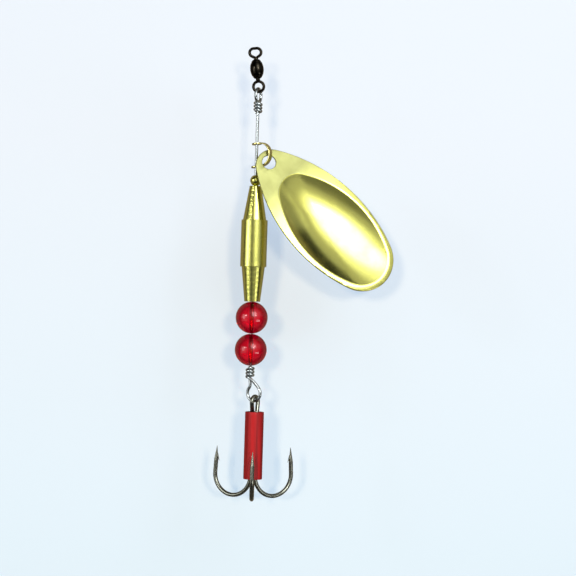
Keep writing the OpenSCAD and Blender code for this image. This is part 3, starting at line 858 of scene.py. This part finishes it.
bmesh.ops.pointmerge(bm, verts=verts_of(centre), merge_co=(bowl_x, 0, blade_t / 2 - bowl_depth))
for face in bm.faces:
    face.material_index = 1 if face in rim_faces else 0
bmesh.ops.recalc_face_normals(bm, faces=bm.faces)
back = bmesh.ops.duplicate(bm, geom=bm.verts[:] + bm.edges[:] + bm.faces[:])["geom"]
bmesh.ops.translate(bm, vec=(0, 0, -blade_t), verts=verts_of(back))
bmesh.ops.reverse_faces(bm, faces=[g for g in back if isinstance(g, bmesh.types.BMFace)])
for at_hole in (True, False):
    open_edges = [e for e in bm.edges
                  if e.is_boundary and (e.verts[0].co.xy.length < hole_r + 0.05) == at_hole]
    bmesh.ops.bridge_loops(bm, edges=open_edges)
break_edges(bm, sharper_than(70, bm), rim_round, 3)
shoulder = [e for e in sharper_than(20, bm) if len({f.material_index for f in e.link_faces}) == 2]
break_edges(bm, shoulder, shoulder_round, 4)
blade = finish_piece(bm, "spoon_blade", "blade", "blade", [bowl_finish, rim_finish], 60,
                     Matrix.Translation(place("blade_swing")) @ turn_by(90 - blade_lean, "Y")
                     @ turn_by(90, "X") @ turn_by(blade_roll, "X") @ turn_by(blade_pitch, "Y"))
even = blade.modifiers.new("flat rim", "WEIGHTED_NORMAL")
even.keep_sharp = True

# %% [markdown]
# ## The treble hook
#
# A treble is two pieces of wire. One makes two of the hooks and the eye between them, and the
# third hook is brazed alongside. Each end is ground to a long point, which the curve's radius
# gives, and has a barb raised from the wire, which is a thin cone set into it.

# %% Hook wire
hook_d, bend_r, spear_len, point_len = 1.05, 5.2, 6.9, 3.6
braze_above_bend, shank_long, eye_above_shank = 0.8, 15.5, 3.0
eye_inside = 1.5
spear_lean = radians(3)
tip_thinned, shank_gap = 0.91, 0.06
barb_r, barb_tip_r, barb_up, barb_down, barb_out = 0.30, 0.03, 1.55, 0.2, 0.42

treble_axis = Vector((*place("treble_swing").xy, 0))
bend_z = node_box("treble_braze")[0].z - braze_above_bend
shank_top = bend_z + shank_long
bundle_r = (hook_d + shank_gap) / sqrt(3)
up = Vector((0, 0, 1))


def outward(turn):
    """Direction of a hook from the treble's axis."""
    return Vector((cos(radians(turn)), sin(radians(turn)), 0))


def spear_way(turn):
    """Direction of a hook's spear, which leans in a little."""
    return up * cos(spear_lean) - outward(turn) * sin(spear_lean)


def shank_at(turn, z):
    """Point on a hook's shank at a height."""
    return treble_axis + outward(turn) * bundle_r + up * z


def hook_end(turn):
    """Points from the top of the bend down round it and up the spear, and the radius at each."""
    points = []
    for k in range(29):
        a = pi * (1 + k / 28)
        out = outward(turn) * bend_r * (1 + cos(a))
        points.append(shank_at(turn, bend_z) + out + up * bend_r * sin(a))
    heel = points[-1]
    points += [heel + spear_way(turn) * s for s in (0.5, 1.2, 2.0, 2.7, spear_len - point_len)]
    radii = [1.0] * len(points)
    for k in range(1, 9):
        points.append(heel + spear_way(turn) * (spear_len - point_len * (1 - k / 8)))
        radii.append(1 - tip_thinned * k / 8)
    return points, radii


def add_barb(bm, turn):
    """Thin cone that stands off the inner side of a spear, pointing back down."""
    out, spear = outward(turn), spear_way(turn)
    base = treble_axis + out * (bundle_r + 2 * bend_r) + up * bend_z + spear * (spear_len - point_len)
    root = base + spear * barb_up - out * 0.12
    end = base - spear * barb_down - out * (hook_d / 2 + barb_out)
    along = end - root
    turn_to = along.to_track_quat("Z", "Y").to_matrix().to_4x4()
    bmesh.ops.create_cone(bm, cap_ends=True, segments=12, radius1=barb_r, radius2=barb_tip_r,
                          depth=along.length, matrix=Matrix.Translation((root + end) / 2) @ turn_to)


# %% [markdown]
# The double hook is one wire. It runs from one point down round its bend, up the shank, over
# the eye, and down to the other point, so both halves are joined end to end into one chain.

# %% Double hook
eye_r = (eye_inside + hook_d) / 2
eye_z = shank_top + eye_above_shank
first_turn, second_turn, eye_turn = 30, 150, 55


def half_hook(turn):
    """Points and radii from a hook's tip to the top of its shank."""
    points, radii = hook_end(turn)
    shank = [shank_at(turn, bend_z + shank_long * k / 8) for k in range(1, 9)]
    return points[::-1] + shank, radii[::-1] + [1.0] * 8


points, radii = half_hook(first_turn)
for angle in range(-10, 191, 8):
    a = radians(angle)
    points.append(treble_axis + outward(eye_turn) * eye_r * cos(a) + up * (eye_z + eye_r * sin(a)))
    radii.append(1.0)
back_points, back_radii = half_hook(second_turn)
bm = bent_wire(points + back_points[::-1], hook_d, radii + back_radii[::-1])
for turn in (first_turn, second_turn):
    add_barb(bm, turn)
finish_piece(bm, "double_hook_wire", "treble", "treble_double_hook", [hook_finish], 50)

# %% [markdown]
# The single hook is the same bend and spear on a straight shank. Its upper end is cut off
# below the eye, and the radius shrinks over the last points to round that end.

# %% Single hook
single_turn = -90
single_top = shank_top - 0.02
cut_below, cut_radii = (0, 0.06, 0.2, 0.4), [0.3, 0.62, 0.88, 1.0]

points, radii = hook_end(single_turn)
shank = [shank_at(single_turn, single_top - below) for below in cut_below]
shank += [shank_at(single_turn, single_top - shank_long * k / 8) for k in range(1, 8)]
bm = bent_wire(shank + points, hook_d, cut_radii + [1.0] * 7 + radii)
add_barb(bm, single_turn)
finish_piece(bm, "single_hook_wire", "treble", "treble_single_hook", [hook_finish], 50)

# %% [markdown]
# ## The braze and the sleeve
#
# The braze only fills the gaps between the shanks, deep in the sleeve. Its shape from the
# mechanism is right, so it keeps it and takes the hooks' metal. The sleeve is soft tube cut
# square, with its lips slightly rounded by the knife.

# %% Braze and sleeve
braze = frame["nodes"]["treble_braze"]
braze.data.materials.clear()
braze.data.materials.append(hook_finish)

sleeve_r, sleeve_bore_r = 2.35, 1.35
sleeve_low, sleeve_high = node_box("hook_sleeve")
long = sleeve_high.z - sleeve_low.z
outer = [(sleeve_r, long * k / 24) for k in range(25)]
inner = [(sleeve_bore_r, long * (1 - k / 4)) for k in range(5)]
bm = turned(outer + inner, steps=96, broken=0.14, sharp=60)
finish_piece(bm, "vinyl_sleeve", "treble", "hook_sleeve", [sleeve_finish], 40,
             Matrix.Translation((*treble_axis.xy, sleeve_low.z)))

# %% [markdown]
# ## The room
#
# A pale wall stands close behind the lure and a pale floor lies below it. Seen by the camera or
# through clear plastic, each gives out part of its own pale colour, and the rest is lit, so it
# carries the shadows. That own colour is bluer and less red lower down, a painted shade for the
# lamps above lighting it less there. Seen in the polished metal both are dim, which gives every
# round piece its dark outline. The wall is seen from its front only.

# %% Wall and floor
high_up, low_down = -0.02, -0.13
high_color, low_color = (0.62, 0.70, 0.82, 1), (0.55, 0.73, 0.87, 1)
paint_color, dim_color = (0.54, 0.70, 0.92, 1), (0.12, 0.13, 0.14, 1)
grain_color, grain_share, paper_grains_per_m = (0.8, 0.85, 0.9, 1), 0.04, 900.0
lit_share = 0.36


def seen_directly(tree):
    """One for rays from the camera or through clear plastic, and nought for others."""
    path = add_node(tree, "LightPath")
    return calc(tree, "MAXIMUM", path["Is Camera Ray"], path["Is Transmission Ray"])


def pale_surface(name, one_sided):
    """Material of a backdrop: its own pale colour mixed with a lit surface."""
    material, tree = new_material(name)
    tree.nodes.clear()
    where = add_node(tree, "TexCoord")["Object"]
    level = add_node(tree, "SeparateXYZ", Vector=where)["Z"]
    # Painted shade: the own colour loses red and turns bluer lower down, as less lamp light reaches there.
    painted_falloff = rise(tree, level, high_up, low_down)
    grain = rise(tree, noise(tree, where, paper_grains_per_m, 2.0), 0.0, 1.0, top=grain_share)
    shade = mix_colors(tree, grain, mix_colors(tree, painted_falloff, high_color, low_color), grain_color)
    own = add_node(tree, "Emission", Color=shade)[0]
    paint = add_node(tree, "BsdfDiffuse", Color=paint_color)[0]
    dim = add_node(tree, "BsdfDiffuse", Color=dim_color)[0]
    front = add_node(tree, "MixShader", i0=1 - lit_share, i1=paint, i2=own)[0]
    surface = add_node(tree, "MixShader", i0=seen_directly(tree), i1=dim, i2=front)[0]
    if one_sided:
        behind = add_node(tree, "NewGeometry")["Backfacing"]
        clear = add_node(tree, "BsdfTransparent")[0]
        surface = add_node(tree, "MixShader", i0=behind, i1=surface, i2=clear)[0]
    add_node(tree, "OutputMaterial", Surface=surface)
    return material


def flat_stage(name, size, at, material):
    """A flat backdrop, which isn't part of the lure."""
    bm = bmesh.new()
    bmesh.ops.create_grid(bm, x_segments=1, y_segments=1, size=0.5, matrix=at @ stretch(*size))
    mesh_object(bm, name, [material])


wall_y, floor_z = 0.040, -0.165
flat_stage("wall", (3.0, 3.0), Matrix.Translation((0, wall_y, 0)) @ turn_by(90, "X"),
           pale_surface("wall_paper", one_sided=True))
flat_stage("floor", (3.0, 0.10), Matrix.Translation((0, -0.010, floor_z)),
           pale_surface("floor_paper", one_sided=False))
print(f"wall behind at y = {wall_y * mm_per_m:.0f} mm, floor at z = {floor_z * mm_per_m:.0f} mm")

# %% [markdown]
# ## Light
#
# A polished spoon shows its lamps like a mirror, so each lamp here is placed by the part of the
# view it fills and by how bright it looks there. A round key lamp high on the right makes the
# white patch in the bowl. Three wider, dimmer discs round it let that patch fade off softly.
# Panels and strips on both sides make the two bright bands down every round piece, and the dark
# between them is simply where no lamp stands. Two small bulbs give the beads their pin points.
# Two little lamps beside the camera are left out of reflections, and cast the soft double
# shadow on the wall. The room gives only a little light of its own, but it looks pale where it
# is seen directly, past the edge of the wall.

# %% Lamps and world
aim = Vector((0.008, 0, -0.056))
softbox_far, shadow_far = 0.5, 0.9
shadow_side, shadow_size, shadow_power = 5.5, 0.04, 6.6
shadow_color = (1, 0.64, 0.30)
room_glow, room_pale, room_color = 0.03, 0.87, (0.86, 0.95, 1.0, 1)
softboxes = (
    # name, azimuth, elevation, width and height in degrees, brightness; as wide as high is round
    ("key_lamp", 21, 25, 34, 34, 4.6),
    ("key_glow", 21, 26, 52, 52, 0.6),
    ("key_spill", 24, 28, 78, 78, 0.32),
    ("key_haze", 23, 20, 96, 96, 0.14),
    ("left_softbox", -52, 6, 52, 28, 0.8),
    ("left_strip", -55, 4, 20, 26, 2.6),
    ("right_strip", 50, -20, 26, 12, 4.2),
    ("right_panel", 80, 23, 34, 30, 0.3),
    ("left_low_panel", -55, -18, 46, 12, 0.7),
    ("left_bulb", -42, 14, 6, 6, 30),
    ("right_bulb", 25, 17, 6, 6, 30))


def lamp(name, azimuth, elevation, distance, size_x, size_y, power, shape="RECTANGLE"):
    """A soft lamp that faces the lure. Azimuth 0 is at the camera's side, 90 to the right."""
    a, e = radians(azimuth), radians(elevation)
    toward = Vector((sin(a) * cos(e), -cos(a) * cos(e), sin(e)))
    light = bpy.data.lights.new(name, "AREA")
    light.shape = shape
    light.size, light.size_y = size_x, size_y
    light.energy = power
    holder = add_object(name, light)
    holder.location = aim + toward * distance
    holder.rotation_mode = "QUATERNION"
    holder.rotation_quaternion = toward.to_track_quat("Z", "Y")
    return holder


for name, azimuth, elevation, wide, high, radiance in softboxes:
    size_x, size_y = [2 * softbox_far * tan(radians(angle / 2)) for angle in (wide, high)]
    shape, filled = ("DISK", pi / 4) if wide == high else ("RECTANGLE", 1)
    power = radiance * size_x * size_y * filled * pi
    lamp(name, azimuth, elevation, softbox_far, size_x, size_y, power, shape)
for name, side in (("left_shadow_lamp", -1), ("right_shadow_lamp", 1)):
    holder = lamp(name, side * shadow_side, 3, shadow_far, shadow_size, shadow_size, shadow_power)
    holder.data.color = shadow_color
    holder.visible_glossy = False

world = bpy.data.worlds.new("room")
world.use_nodes = True
tree = world.node_tree
pale = calc(tree, "MULTIPLY", seen_directly(tree), room_pale)
set_inputs(tree, tree.nodes["Background"], Color=room_color, Strength=calc(tree, "ADD", pale, room_glow))
bpy.context.scene.world = world
print(len(softboxes), "softboxes and bulbs, and two shadow lamps")

# %% [markdown]
# ## Camera
#
# The camera looks straight at the lure from the front, from nearly half a metre away, level
# with its middle. It is rolled slightly, so that the shaft leans as a hanging lure does.

# %% Camera
camera_far, camera_z, camera_right, camera_roll = 475, -58.6, 8.85, -1.72
half_view, sensor = 72, 36

camera_data = bpy.data.cameras.new("camera")
camera_data.sensor_width = sensor
camera_data.lens = sensor / 2 / (half_view / camera_far)
camera_data.clip_start, camera_data.clip_end = 0.01, 20
camera = add_object("camera", camera_data)
camera.location = Vector((shaft_x + camera_right, -camera_far, camera_z)) / mm_per_m
camera.rotation_euler = (pi / 2, radians(camera_roll), 0)
bpy.context.scene.camera = camera
bpy.context.scene.view_settings.view_transform = "Standard"
print(f"lens of {camera_data.lens:.0f} mm, {camera_far} mm in front of the shaft")
